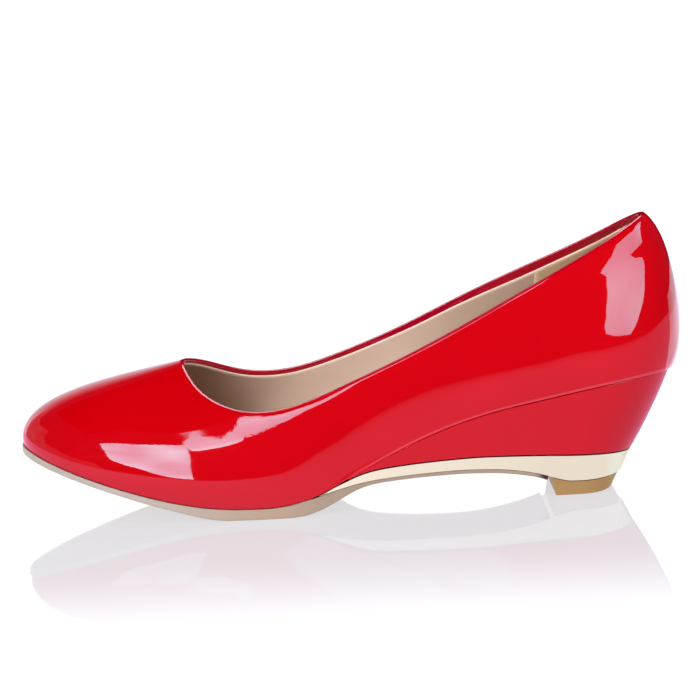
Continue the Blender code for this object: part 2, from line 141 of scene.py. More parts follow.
# ------------------------------------------------------------------ curves
def spline(xs, ys, xq):
    xs = np.asarray(xs, float)
    ys = np.asarray(ys, float)
    xq = np.asarray(xq, float)
    n = len(xs)
    h = np.diff(xs)
    a = np.eye(n)
    rhs = np.zeros((n,) + ys.shape[1:])
    slope = (np.diff(ys, axis=0).T / h).T
    for i in range(1, n - 1):
        a[i, i - 1:i + 2] = h[i - 1], 2 * (h[i - 1] + h[i]), h[i]
        rhs[i] = 6 * (slope[i] - slope[i - 1])
    m = np.linalg.solve(a, rhs)
    k = np.clip(np.searchsorted(xs, xq) - 1, 0, n - 2)
    lo, hi = xs[k], xs[k + 1]
    w = hi - lo
    p, q = (hi - xq) / w, (xq - lo) / w
    if ys.ndim > 1:
        p, q, w = p[:, None], q[:, None], w[:, None]
    return (p * ys[k] + q * ys[k + 1]
            + ((p ** 3 - p) * m[k] + (q ** 3 - q) * m[k + 1]) * w * w / 6)


def loop_spline(points, sq):
    n = len(points)
    pad = 6
    idx = np.arange(-pad, n + pad + 1)
    return spline(idx / n, np.asarray(points)[idx % n], np.asarray(sq) % 1.0)


def smooth_table(table, column, x):
    xs = np.asarray(table["x"], float)
    ys = np.asarray(table[column], float)
    d = np.diff(ys) / np.diff(xs)
    t = np.zeros(len(xs))
    for i in range(1, len(xs) - 1):
        if d[i - 1] * d[i] > 0:
            h0, h1 = xs[i] - xs[i - 1], xs[i + 1] - xs[i]
            t[i] = 3 * (h0 + h1) / ((2 * h1 + h0) / d[i - 1]
                                    + (h1 + 2 * h0) / d[i])
    t[0], t[-1] = d[0], d[-1]
    x = np.clip(np.asarray(x, float), xs[0], xs[-1])
    k = np.clip(np.searchsorted(xs, x) - 1, 0, len(xs) - 2)
    h = xs[k + 1] - xs[k]
    u = (x - xs[k]) / h
    return (ys[k] * (1 + 2 * u) * (1 - u) ** 2 + ys[k + 1] * u * u * (3 - 2 * u)
            + h * t[k] * u * (1 - u) ** 2 - h * t[k + 1] * u * u * (1 - u))


def swing(x):
    return TOE_SWING * np.clip(1 - np.asarray(x, float) / 95.0, 0, 1) ** 3


def ends(x, start, end, toe=(TOE_ROUND, TOE_FULL), seat=(SEAT_ROUND, SEAT_FULL)):
    x = np.asarray(x, float)
    f = np.ones_like(x)
    if toe:
        a = np.clip((toe[0] - (x - start)) / toe[0], 0, 1)
        f = f * np.sqrt(np.clip(1 - a ** toe[1], 0, 1))
    if seat:
        b = np.clip((seat[0] - (end - x)) / seat[0], 0, 1)
        f = f * np.sqrt(np.clip(1 - b ** seat[1], 0, 1))
    return f


def smooth_spline(table, column, x):
    return spline(table["x"], table[column], np.asarray(x, float))


def feather_y(x, side):
    col = "lateral" if side < 0 else "medial"
    w = smooth_spline(LAST, col, x)
    return swing(x) + side * w * ends(x, FEATHER_START, FEATHER_END)


def across(x, y):
    lat = smooth_spline(LAST, "lateral", x)
    med = smooth_spline(LAST, "medial", x)
    return (y + lat) / (lat + med)


def height(table, x, y, column="z"):
    x = np.asarray(x, float)
    return (smooth_table(table, column, x)
            + smooth_table(ARCH_LIFT, "rise", x) * across(x, y))


def dense(start, end, n=4000):
    return start + (end - start) * (1 - np.cos(np.linspace(0, math.pi, n))) / 2


def step_up(x, lo, hi):
    u = np.clip((np.asarray(x, float) - lo) / (hi - lo), 0, 1)
    return u * u * (3 - 2 * u)


def upper_loops(stations=52):
    half = stations // 2
    share = np.linspace(0, 1, half + 1)
    sides = []
    for side, name in ((-1, "lateral"), (1, "medial")):
        x = dense(FEATHER_START, FEATHER_END)
        y = feather_y(x, side)
        flat = np.stack([x, y], 1)
        z = height(SEAT, x, y)
        run = np.concatenate([[0], np.cumsum(
            np.linalg.norm(np.diff(flat, axis=0), axis=1))])
        at = share * run[-1]
        foot = np.stack([np.interp(at, run, v) for v in (x, y, z)], 1)
        tan = np.stack([np.interp(at, run, np.gradient(v, run))
                        for v in (x, y)], 1)
        tan /= np.linalg.norm(tan, axis=1)[:, None]
        out = np.stack([tan[:, 1], -tan[:, 0]], 1)
        out = np.where((out[:, 1] * side >= 0)[:, None], out, -out)
        out[0], out[-1] = (-1.0, 0.0), (1.0, 0.0)

        rows = np.stack([np.asarray(COLLAR["x"], float),
                         side * np.asarray(COLLAR[name], float),
                         np.asarray(COLLAR["z_" + name], float)], 1)
        mirror = rows[1:-1][::-1] * (1, -1, 1)
        ring = np.concatenate([rows, mirror])
        closed = np.concatenate([ring, ring[:1]])
        chord = np.concatenate([[0], np.cumsum(
            np.linalg.norm(np.diff(closed, axis=0), axis=1))])
        k = len(ring)
        pad = 5
        idx = np.arange(-pad, k + pad + 1)
        knot = chord[idx % k] + (idx // k) * chord[-1]
        fine = np.linspace(0, chord[len(rows) - 1], 3000)
        line = spline(knot, ring[idx % k], fine)
        run_c = np.concatenate([[0], np.cumsum(
            np.linalg.norm(np.diff(line, axis=0), axis=1))])
        way = spline(RIB_WAY["feather"], RIB_WAY["collar"], share)
        at_c = way * run_c[-1]
        rim = np.stack([np.interp(at_c, run_c, line[:, j])
                        for j in range(3)], 1)

        step = rim[:, :2] - foot[:, :2]
        rise = rim[:, 2] - foot[:, 2]
        loops = [foot]
        for j in (1, 2, 3, 4):
            inn = (spline(RIBS["at"], RIBS["in_%d" % j], share)
                   if j > 1 else np.zeros(half + 1))
            off = spline(RIBS["at"], RIBS["out_%d" % j], share)
            up = spline(RIBS["at"], RIBS["up_%d" % j], share)
            p = np.empty((half + 1, 3))
            p[:, :2] = foot[:, :2] + step * inn[:, None] + out * off[:, None]
            p[:, 2] = foot[:, 2] + rise * up
            loops.append(p)
        loops.append(rim)
        sides.append(np.stack(loops))
    lat, med = sides
    return np.concatenate([lat, med[:, -2:0:-1]], axis=1)


LOOPS = upper_loops()
FINE = 200                     # steps along each rib when it is measured


class Skin:
    """The upper's outer face, read by share round it and millimetres up."""

    def __init__(self, s):
        self.s = np.asarray(s, float)
        e = 1e-4
        ctrl = np.stack([loop_spline(loop, self.s) for loop in LOOPS])
        side = np.stack([(loop_spline(loop, self.s + e)
                          - loop_spline(loop, self.s - e)) / (2 * e)
                         for loop in LOOPS])
        h = np.linspace(0, 1, FINE + 1)
        n = len(LOOPS) - 1
        self.p = sum((math.comb(n, j) * h ** j * (1 - h) ** (n - j))[:, None, None]
                     * ctrl[j][None] for j in range(n + 1))
        ps = sum((math.comb(n, j) * h ** j * (1 - h) ** (n - j))[:, None, None]
                 * side[j][None] for j in range(n + 1))
        m = n - 1
        ph = sum((math.comb(m, j) * h ** j * (1 - h) ** (m - j))[:, None, None]
                 * n * (ctrl[j + 1] - ctrl[j])[None] for j in range(n))
        out = np.cross(ps, ph)
        self.n = out / np.linalg.norm(out, axis=2)[:, :, None]
        self.t = ph / np.linalg.norm(ph, axis=2)[:, :, None]
        run = np.linalg.norm(np.diff(self.p, axis=0), axis=2)
        self.run = np.concatenate([np.zeros((1, len(self.s))), np.cumsum(run, 0)])
        self.length = self.run[-1]

    def at(self, arc):
        """Point, outward direction and upward direction at arc mm up."""
        arc = np.broadcast_to(np.asarray(arc, float), self.s.shape)
        got = []
        for field in (self.p, self.n, self.t):
            q = np.empty((len(self.s), 3))
            for i in range(len(self.s)):
                for c in range(3):
                    q[i, c] = np.interp(arc[i], self.run[:, i], field[:, i, c])
            got.append(q)
        for q in got[1:]:
            q /= np.linalg.norm(q, axis=1)[:, None]
        return got


# ------------------------------------------------------------ mesh helpers
def world(p):
    p = np.asarray(p, float)
    return (p - (X_MID, Y_MID, 0)) * MM


def make(name, verts, faces, material, body="root"):
    mesh = bpy.data.meshes.new(name)
    mesh.from_pydata([tuple(v) for v in world(verts)], [], faces)
    mesh.validate()
    mesh.shade_smooth()
    obj = bpy.data.objects.new(name, mesh)
    bpy.context.scene.collection.objects.link(obj)
    mesh.materials.append(material)
    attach(obj, body)
    return obj


def sheet_faces(rows, cols, closed=True, flip=False):
    faces = []
    last = cols if closed else cols - 1
    for r in range(rows - 1):
        for c in range(last):
            d = (c + 1) % cols
            q = (r * cols + c, r * cols + d, (r + 1) * cols + d, (r + 1) * cols + c)
            faces.append(q[::-1] if flip else q)
    return faces


def mark(obj, name, values):
    """A number per point that the piece's material reads."""
    att = obj.data.attributes.new(name, "FLOAT", "POINT")
    att.data.foreach_set("value", np.asarray(values, np.float32).ravel())


def wobble(p, scale, seed):
    """Smooth noise of about unit size, scale in mm."""
    q = np.asarray(p, float) / scale + seed
    return np.array([noise.noise(Vector(v)) for v in q.reshape(-1, 3)]).reshape(
        q.shape[:-1])


# --------------------------------------------------------------- materials
def nodes_of(name):
    mat = bpy.data.materials.new(name)
    mat.use_nodes = True
    nt = mat.node_tree
    nt.nodes.clear()
    out = nt.nodes.new("ShaderNodeOutputMaterial")
    bsdf = nt.nodes.new("ShaderNodeBsdfPrincipled")
    nt.links.new(bsdf.outputs[0], out.inputs[0])
    return mat, nt, bsdf


def add(nt, kind, **values):
    node = nt.nodes.new(kind)
    for key, val in values.items():
        if key in node.inputs:
            node.inputs[key].default_value = val
        else:
            setattr(node, key, val)
    return node


def object_coords(nt, scale=(1, 1, 1), rot=(0, 0, 0)):
    tc = nt.nodes.new("ShaderNodeTexCoord")
    mp = nt.nodes.new("ShaderNodeMapping")
    mp.inputs["Scale"].default_value = scale
    mp.inputs["Rotation"].default_value = rot
    nt.links.new(tc.outputs["Object"], mp.inputs["Vector"])
    return mp.outputs[0]


def noise_tex(nt, coords, scale, detail=2.0, rough=0.5):
    t = add(nt, "ShaderNodeTexNoise", Scale=scale, Detail=detail, Roughness=rough)
    nt.links.new(coords, t.inputs["Vector"])
    return t.outputs["Fac"]


def ramp(nt, fac, stops):
    r = nt.nodes.new("ShaderNodeValToRGB")
    els = r.color_ramp.elements
    while len(els) < len(stops):
        els.new(0.5)
    for el, (pos, col) in zip(els, stops):
        el.position = pos
        el.color = (*col, 1) if len(col) == 3 else col
    nt.links.new(fac, r.inputs["Fac"])
    return r.outputs["Color"]


def bump(nt, target, height_socket, strength, distance, under=None):
    b = add(nt, "ShaderNodeBump", Strength=strength, Distance=distance)
    nt.links.new(height_socket, b.inputs["Height"])
    if under is not None:
        nt.links.new(under, b.inputs["Normal"])
    if target is not None:
        nt.links.new(b.outputs["Normal"], target)
    return b.outputs["Normal"]


def mix_colour(nt, fac, a, b):
    m = nt.nodes.new("ShaderNodeMix")
    m.data_type = "RGBA"
    nt.links.new(fac, m.inputs[0])
    for sock, v in ((m.inputs[6], a), (m.inputs[7], b)):
        if isinstance(v, tuple):
            sock.default_value = (*v, 1)
        else:
            nt.links.new(v, sock)
    return m.outputs[2]


def product(nt, a, b, add_to=None):
    m = nt.nodes.new("ShaderNodeMath")
    m.operation = "MULTIPLY" if add_to is None else "MULTIPLY_ADD"
    for sock, v in zip(m.inputs, (a, b, add_to)):
        if isinstance(v, (int, float)):
            sock.default_value = v
        elif v is not None:
            nt.links.new(v, sock)
    return m.outputs[0]


def patent(name, deep=1.0, blue=0.0, rubbed=False):
    """Red patent: a saturated base under a hard, slightly uneven gloss coat."""
    mat, nt, b = nodes_of(name)
    co = object_coords(nt)
    tone = noise_tex(nt, co, 38.0, 3.0)
    col = ramp(nt, tone, [(0.25, (0.635 * deep, 0.0, 0.0030 * deep + blue)),
                          (0.75, (0.675 * deep, 0.0004, 0.0042 * deep + blue))])
    # Painted highlight: where the "edge" mark is set the red turns lighter, standing in
    # for the bright floor mirrored in the rolled edge.
    painted_edge_highlight = nt.nodes.new("ShaderNodeAttribute")
    painted_edge_highlight.attribute_name = "edge"
    col = mix_colour(nt, painted_edge_highlight.outputs["Fac"], col, (0.78, 0.045, 0.06))
    nt.links.new(col, b.inputs["Base Color"])
    b.inputs["Roughness"].default_value = 0.6
    b.inputs["Specular IOR Level"].default_value = 0.0
    if rubbed:
        dull = nt.nodes.new("ShaderNodeAttribute")
        dull.attribute_name = "dull"
        nt.links.new(product(nt, dull.outputs["Fac"], -0.85, 1.0),
                     b.inputs["Coat Weight"])
    else:
        b.inputs["Coat Weight"].default_value = 1.0
    b.inputs["Coat Roughness"].default_value = 0.035
    b.inputs["Coat IOR"].default_value = 1.5
    fine = noise_tex(nt, co, 420.0, 2.0)
    slow = noise_tex(nt, co, 95.0, 1.0)
    first = bump(nt, None, slow, 0.35, 0.00008)
    second = bump(nt, None, fine, 0.22, 0.00001, first)
    att = nt.nodes.new("ShaderNodeAttribute")
    att.attribute_name = "ripple"
    pucker = nt.nodes.new("ShaderNodeMath")
    pucker.operation = "MULTIPLY"
    nt.links.new(noise_tex(nt, co, 640.0, 1.0), pucker.inputs[0])
    nt.links.new(att.outputs["Fac"], pucker.inputs[1])
    bump(nt, b.inputs["Coat Normal"], pucker.outputs[0], 1.0, 0.00005, second)
    nt.links.new(first, b.inputs["Normal"])
    return mat


def along(nt, lo, hi, low=0.0, high=1.0):
    """Smooth change from one station of the shoe to another, in mm."""
    tc = nt.nodes.new("ShaderNodeTexCoord")
    sep = nt.nodes.new("ShaderNodeSeparateXYZ")
    nt.links.new(tc.outputs["Object"], sep.inputs[0])
    mr = add(nt, "ShaderNodeMapRange", interpolation_type="SMOOTHSTEP")
    nt.links.new(sep.outputs["X"], mr.inputs["Value"])
    mr.inputs["From Min"].default_value = (lo - X_MID) * MM
    mr.inputs["From Max"].default_value = (hi - X_MID) * MM
    mr.inputs["To Min"].default_value = low
    mr.inputs["To Max"].default_value = high
    return mr.outputs[0]


def lining_material(name, light, dark, edge=None, throat=None, quarter=None):
    """Smooth glued lining with a very fine pore and a soft, uneven tone; throat and
    quarter add painted shade towards the toe and the heel, and edge gives a lighter cut
    edge, partly its own colour and partly painted highlight.
    """
    mat, nt, b = nodes_of(name)
    co = object_coords(nt)
    tone = noise_tex(nt, object_coords(nt, (1, 1, 2.5)), 30.0, 3.0)
    col = ramp(nt, tone, [(0.3, dark), (0.7, light)])
    # Painted shade: forward of 104 mm the colour turns dark brown towards the toe, for
    # the shade inside the toe box.
    if throat:
        col = mix_colour(nt, along(nt, 60, 104), throat, col)
    # Painted shade: from 138 mm back the colour turns a darker brown, fully so from 172
    # mm.
    if quarter:
        col = mix_colour(nt, along(nt, 138, 172), col, quarter)
    pores = noise_tex(nt, co, 2600.0, 2.0, 0.6)
    fine = nt.nodes.new("ShaderNodeMix")
    fine.data_type = "RGBA"
    fine.blend_type = "MULTIPLY"
    fine.inputs[0].default_value = 1.0
    nt.links.new(col, fine.inputs[6])
    nt.links.new(ramp(nt, pores, [(0.3, (0.93, 0.93, 0.93)), (0.7, (1, 1, 1))]),
                 fine.inputs[7])
    col = fine.outputs[2]
    # Lighter cut edge where the "rim" mark is set: partly the edge's own colour, partly
    # painted highlight.
    if edge:
        att = nt.nodes.new("ShaderNodeAttribute")
        att.attribute_name = "rim"
        col = mix_colour(nt, att.outputs["Fac"], col, edge)
    nt.links.new(col, b.inputs["Base Color"])
    b.inputs["Roughness"].default_value = 0.55
    b.inputs["Specular IOR Level"].default_value = 0.3
    b.inputs["Sheen Weight"].default_value = 0.15
    b.inputs["Sheen Roughness"].default_value = 0.5
    low = noise_tex(nt, object_coords(nt, (1, 1, 1.6)), 70.0, 2.0)
    first = bump(nt, None, low, 0.5, 0.0004)
    bump(nt, b.inputs["Normal"], pores, 0.25, 0.0001, first)
    return mat


def board_material(name, top, low, band=None, rough=0.55, grain=900.0, waist=None):
    """Cut and painted edge board: tone drifts along it, fine fibre bump."""
    mat, nt, b = nodes_of(name)
    streak = noise_tex(nt, object_coords(nt, (1, 1, 9)), 60.0, 4.0, 0.6)
    col = ramp(nt, streak, [(0.25, low), (0.75, top)])
    if waist:
        # Darker and browner from the toe to the ball, darker again from 92 to 122 mm
        # back.
        col = mix_colour(nt, along(nt, 40, 96), col, waist[0])
        col = mix_colour(nt, along(nt, 92, 122), col, waist[1])
        # Painted shadow: from 188.5 mm the outsole's rear end before the lift turns
        # near black.
        col = mix_colour(nt, along(nt, 188.5, 192.5), col, (0.05, 0.025, 0.015))
    att = nt.nodes.new("ShaderNodeAttribute")
    att.attribute_name = "face"
    if band:
        col = mix_colour(nt, att.outputs["Fac"], col, band)
    nt.links.new(col, b.inputs["Base Color"])
    b.inputs["Roughness"].default_value = rough
    b.inputs["Specular IOR Level"].default_value = 0.4
    fibre = noise_tex(nt, object_coords(nt, (1, 1, 4)), grain, 3.0, 0.6)
    bump(nt, b.inputs["Normal"], fibre, 0.3, 0.00015)
    return mat


def metal_material(name, colour):
    """Polished plated strip with a faint drawn haze."""
    mat, nt, b = nodes_of(name)
    tone = noise_tex(nt, object_coords(nt, (1, 1, 0.4)), 50.0, 2.0)
    col = ramp(nt, tone, [(0.3, tuple(0.97 * v for v in colour)), (0.7, colour)])
    # Painted highlight: a pale greenish-white stretch from about 214 mm; painted shade:
    # darker brownish gold from 221 mm to the back end.
    col = mix_colour(nt, along(nt, 214, 219), col, (0.90, 0.93, 0.84))
    col = mix_colour(nt, along(nt, 221, 226), col, (0.70, 0.66, 0.50))
    nt.links.new(col, b.inputs["Base Color"])
    b.inputs["Metallic"].default_value = 1.0
    haze = noise_tex(nt, object_coords(nt, (1, 1, 0.25)), 900.0, 2.0)
    r = add(nt, "ShaderNodeMapRange")
    nt.links.new(haze, r.inputs["Value"])
    r.inputs["To Min"].default_value = 0.13
    r.inputs["To Max"].default_value = 0.19
    nt.links.new(r.outputs[0], b.inputs["Roughness"])
    wave = noise_tex(nt, object_coords(nt, (1, 1, 0.3)), 55.0, 1.0)
    bump(nt, b.inputs["Normal"], wave, 0.25, 0.0001)
    return mat


RED = patent("patent_red")
RED_WEDGE = patent("patent_red_wedge", 0.97)
# Painted shade: the collar fold and its facing use a darker, slightly bluer copy of the
# upper's red patent.
RED_FOLD = patent("patent_red_fold", 0.68, 0.014, True)
# LINING and SOCK get painted shade towards the toe; LINING also gets painted shade
# towards the heel and a lighter cut edge.
LINING = lining_material("lining_beige", (0.66, 0.49, 0.385), (0.59, 0.43, 0.335),
                         (0.93, 0.74, 0.62), (0.34, 0.19, 0.115), (0.50, 0.365, 0.27))
HEEL_LINING = lining_material("lining_heel", (0.62, 0.47, 0.29), (0.56, 0.41, 0.24),
                              (0.92, 0.74, 0.56))
SOCK = lining_material("sock_beige", (0.66, 0.50, 0.385), (0.60, 0.45, 0.34), None,
                       (0.34, 0.19, 0.115))
SOLE = board_material("outsole_board", (0.60, 0.507, 0.45), (0.55, 0.456, 0.40),
                      (0.42, 0.31, 0.20),
                      waist=((0.52, 0.37, 0.27), (0.44, 0.33, 0.26)))
LIFT = board_material("top_lift_rubber", (0.50, 0.29, 0.11), (0.44, 0.245, 0.085),
                      (0.30, 0.20, 0.10), 0.5, 500.0)
GOLD = metal_material("pale_gold", (0.93, 0.85, 0.745))

# ------------------------------------------------------------------- upper
ROUND = 480
RISE = 84
FOOT_R = 0.48                 # roll of the lasted edge into the crease
TOP_R = 0.85                  # fold of the collar edge
TURN_IN, TURN_RUN = 0.30, 3.5 # the collar edge is pulled in a little, in mm

s = np.arange(ROUND) / ROUND
skin = Skin(s)
LEN = skin.length
x_rim = skin.p[-1, :, 0]
# Depth of the red facing that turns over the collar, by the rim's station.
FACING = dict(x=[60, 75, 89, 130, 171, 191, 212, 226, 234],
              d=[1.0, 1.1, 1.35, 1.85, 2.5, 3.0, 3.0, 2.4, 2.0])


def facing_depth(x):
    return smooth_table(dict(x=FACING["x"], z=FACING["d"]), "z", x)


# Unevenness of the stretched patent: station, height, side,
# length along, length up, depth.  All in mm.
DENTS = [
    (84, 26, -1, 9, 7, 0.05), (96, 24, -1, 7, 6, -0.06),
    (106, 27, -1, 8, 6, 0.05), (118, 30, -1, 9, 7, -0.04),
    (206, 66, -1, 9, 6, 0.10), (214, 58, -1, 7, 5, -0.07),
    (228, 86, -1, 5, 6, 0.08), (222, 78, -1, 6, 5, -0.06),
    (208, 50, -1, 10, 5, -0.05),
    (40, 44, -1, 16, 9, 0.05), (30, 30, -1, 14, 8, -0.04),
    (90, 26, 1, 9, 8, 0.05), (110, 28, 1, 8, 7, -0.05),
    (210, 64, 1, 9, 7, 0.09), (222, 80, 1, 6, 6, -0.06),
]


def uneven(p):
    d = 0.035 * wobble(p, 22.0, 3.0) + 0.012 * wobble(p, 9.0, 11.0)
    for x0, z0, side, lx, lz, depth in DENTS:
        near = (p[..., 1] * side > -4).astype(float)
        d = d + near * depth * np.exp(-((p[..., 0] - x0) / lx) ** 2
                                      - ((p[..., 2] - z0) / lz) ** 2)
    return d


def pull(below):
    """How far the edge is drawn in, by mm below the fold."""
    return (turn * np.clip(1 - below / TURN_RUN, 0, 1) ** 2
            - flare * np.clip(1 - below / FLARE_RUN, 0, 1) ** 2)


def swell(p, h):
    """Fullness just above the crease beside the arch."""
    return (0.42 * np.exp(-((p[:, 0] - 131) / 17) ** 2) * step_up(h, 0, 5.5)
            * (1 - step_up(h, 5.5, 26)))


rows = []
# Rolled lasted edge, from underneath up to the wall.
p0, n0, t0 = skin.at(FOOT_R)
centre = p0 - n0 * FOOT_R
for deg in (112, 96, 80, 64, 48, 32, 16):
    a = math.radians(deg)
    rows.append(centre + FOOT_R * (math.cos(a) * n0 - math.sin(a) * t0))
under = rows[0] - n0 * 2.2 * (1, 1, 0)
rows.insert(0, under)
top_r = np.full(ROUND, TOP_R)
# The fold is fuller where it is closed at the very back.
back = np.exp(-((s - 0.5) / 0.012) ** 2)
top_r = top_r + 0.45 * back
turn = TURN_IN * step_up(x_rim, 80, 100) * (1 - step_up(x_rim, 112, 134))
# On the outer side the edge stands away a little beside the throat.
FLARE, FLARE_RUN = 1.0, 19.0
flare = FLARE * np.exp(-((x_rim - 75) / 11.5) ** 2) * (skin.p[-1, :, 1] < 0)
lean = np.arctan(2 * turn / TURN_RUN - 2 * flare / FLARE_RUN)
crown = top_r * np.sin(lean) + 0.55 * np.exp(-((s - 0.5) / 0.02) ** 2)
stop = LEN - top_r + crown
for k in range(RISE + 1):
    u = k / RISE
    arc = FOOT_R + (stop - 1.0 - FOOT_R) * u
    p, n, t = skin.at(arc)
    fade = step_up(arc - FOOT_R, 0, 4) * step_up(stop - arc, 0, 5)
    rows.append(p + n * (uneven(p) * fade - pull(stop - arc)
                         + swell(p, arc - FOOT_R))[:, None])
# The skin dips under the rolled edge, which leaves a fine groove below it.
for back_by, dip in ((0.7, 0.01), (0.5, 0.05), (0.35, 0.11), (0.2, 0.18), (0.0, 0.27),
                     (0.1, 0.6)):
    p, n, t = skin.at(stop - back_by)
    rows.append(p - n * (pull(back_by) + dip)[:, None])
upper_skin = make("upper_skin", np.concatenate(rows), sheet_faces(len(rows), ROUND),
                  RED)
rows = []
p1, n1, t1 = skin.at(stop)
side_way = np.cos(lean)[:, None] * n1 + np.sin(lean)[:, None] * t1
centre = p1 - n1 * pull(0.0)[:, None] - side_way * top_r[:, None]
for k in range(-3, 15):
    a = lean + (math.pi - lean) * k / 14
    rows.append(centre + top_r[:, None] * (np.cos(a)[:, None] * n1
                                           + np.sin(a)[:, None] * t1))
depth = facing_depth(x_rim)
for u in (0.25, 0.5, 0.75, 1.0, 1.3):
    p, n, t = skin.at(stop - u * depth)
    rows.append(p - n * (2 * top_r + pull(0.0) * max(0.0, 1 - u) ** 2)[:, None])
collar_fold = make("collar_fold", np.concatenate(rows),
                   sheet_faces(len(rows), ROUND), RED_FOLD)
# On the outer side the fold is rubbed duller from the arch to the heel.
mark(collar_fold, "dull",
     [float(step_up(np.array(v.co.x / MM + X_MID), 100, 120)
            * (1 - step_up(np.array(v.co.x / MM + X_MID), 214, 228))) * (v.co.y < 0)
      for v in collar_fold.data.vertices])
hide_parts("upper")
# Fine puckering of the coat where the shank of the shoe starts to narrow.
ripple = []
for row in upper_skin.data.vertices:
    q = row.co / MM
    ripple.append((1.0 if q.y < 0 else 0.0)
                  * math.exp(-((q.x + 31) / 11) ** 2 - ((q.z - 31) / 4.5) ** 2))
mark(upper_skin, "ripple", ripple)
# Painted highlight: a lighter red line along the rolled lasted edge just above the
# crease with the wedge, from about 116-128 mm to the back.
edge_line = np.zeros((len(upper_skin.data.vertices) // ROUND, ROUND))
edge_line[5:10] = step_up(skin.p[0, :, 0], 116, 128)
mark(upper_skin, "edge", edge_line)

# ------------------------------------------------------------------ lining
LIN_ROUND = 360
ls = np.arange(LIN_ROUND) / LIN_ROUND
inner = Skin(ls)
l_len = inner.length
l_depth = facing_depth(inner.p[-1, :, 0]) + 0.15 * wobble(
    inner.p[-1], 14.0, 5.0)
LIN_OFF = 2.15


def lining_rows(surface, top, off, bottom, count, thick=0.3):
    """Rounded cut edge at the top, then the face down to the bottom."""
    rows, rim = [], []
    for deg in (200, 170, 140, 110, 80, 50, 20):
        a = math.radians(deg)
        p, n, t = surface.at(top + thick * math.sin(a))
        rows.append(p - n * (off - thick + thick * math.cos(a)))
        rim.append(1.0)
    for k in range(count + 1):
        u = (k / count) ** 1.15
        arc = top + (bottom - top) * u
        p, n, t = surface.at(arc)
        rows.append(p - n * off)
        rim.append(1.0 - float(step_up(k, 0.4, 1.6)))
    return rows, rim


l_rows, l_rim = lining_rows(inner, l_len - TOP_R - l_depth, LIN_OFF, 0.8, 46)
lining = make("lining", np.concatenate(l_rows),
              sheet_faces(len(l_rows), LIN_ROUND), LINING)
# Lighter top edge of the lining: partly its own colour, partly painted highlight.
mark(lining, "rim", np.repeat(l_rim, LIN_ROUND))

# Heel lining: a second layer from the seam round the back.
SEAM_X = 194.6
rim_s = np.linspace(0, 1, 4001)
rim_line = loop_spline(LOOPS[-1], rim_s)
front_half = rim_s < 0.5
s_lat = float(np.interp(SEAM_X, rim_line[front_half, 0], rim_s[front_half]))
rear = ~front_half
s_med = float(np.interp(-SEAM_X, -rim_line[rear, 0], rim_s[rear]))
h_n = 190
hs = np.linspace(s_lat, s_med, h_n)
# Ribs slant forwards on their way down, so the seam is set per row below.
heel_surface = Skin(hs)
h_top = heel_surface.length - TOP_R - facing_depth(heel_surface.p[-1, :, 0]) + 0.02
h_rows, h_rim = lining_rows(heel_surface, h_top, LIN_OFF + 0.28, 1.2, 40, 0.16)
edge_off = np.array([0.30, 0.18, 0.06])       # layer thins out at its two ends
h_all = []
for k, row in enumerate(h_rows):
    base = row.copy()
    p, n, t = (heel_surface.at(np.clip(h_top * (1 - max(0, k - 7) / 40), 1, None)))
    for j, e in enumerate(edge_off):
        base[j] = row[j] - (-n[j]) * e
        base[-1 - j] = row[-1 - j] - (-n[-1 - j]) * e
    h_all.append(base)
heel_lining = make("heel_lining", np.concatenate(h_all),
                   sheet_faces(len(h_all), h_n, closed=False), HEEL_LINING)
# The "rim" mark lightens both seam ends and the top edge of the heel lining; along the
# top this is partly its own colour and partly painted highlight.
edge_mark = np.zeros((len(h_all), h_n))
edge_mark[:, :3] = (0.45, 0.45, 0.2)
edge_mark[:, -3:] = (0.2, 0.45, 0.45)
edge_mark = np.maximum(edge_mark, np.array(h_rim)[:, None] * 0.8)
mark(heel_lining, "rim", edge_mark)

# -------------------------------------------------------------------- sock
SOCK_N, SOCK_W = 150, 26
ss = np.linspace(0.0, 0.5, SOCK_N)
lat_side, med_side = Skin(ss), Skin((1.0 - ss) % 1.0)


def wall_at(surface, lift, off):
    """Where the lining's face passes lift mm above the seat."""
    best = []
    for i in range(len(surface.s)):
        p = surface.p[:, i] - surface.n[:, i] * off
        above = p[:, 2] - height(SEAT, p[:, 0], p[:, 1])
        k = int(np.argmax(above > lift))
        best.append(p[k])
    return np.array(best)


lo_edge, hi_edge = wall_at(lat_side, 3.2, 2.0), wall_at(med_side, 3.2, 2.0)
cross = (1 - np.cos(np.linspace(0, math.pi, SOCK_W))) / 2
sock_rows = []
for u in cross:
    row = lo_edge * (1 - u) + hi_edge * u
    side_dist = np.minimum(u, 1 - u) * np.linalg.norm(hi_edge - lo_edge, axis=1)
    base = height(SEAT, row[:, 0], row[:, 1]) + 2.1
    cup = 1.1 * np.exp(-side_dist / 2.2)
    pad = 0.9 * np.exp(-(((row[:, 0] - 212) / 26) ** 2)) * math.sin(math.pi * u)
    row = row.copy()
    row[:, 2] = base + cup + pad
    sock_rows.append(row)
sock = make("insole_sock", np.concatenate(sock_rows),
            sheet_faces(SOCK_W, SOCK_N, closed=False, flip=True), SOCK)
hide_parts("insole")
thick = sock.modifiers.new("board", "SOLIDIFY")
thick.thickness = 2.0 * MM
thick.offset = -1.0


# ------------------------------------------------------- sole-like pieces
def by_turn(x_dense, pts, n, weight=9.0):
    """Shares of the way along pts, closer together where it turns."""
    d = np.diff(pts, axis=0)
    ds = np.linalg.norm(d, axis=1)
    ang = np.unwrap(np.arctan2(d[:, 1], d[:, 0]))
    turn = np.abs(np.concatenate([[0], np.diff(ang)]))
    run = np.concatenate([[0], np.cumsum(ds + weight * turn)])
    return np.interp(np.linspace(0, run[-1], n + 1), run, x_dense)


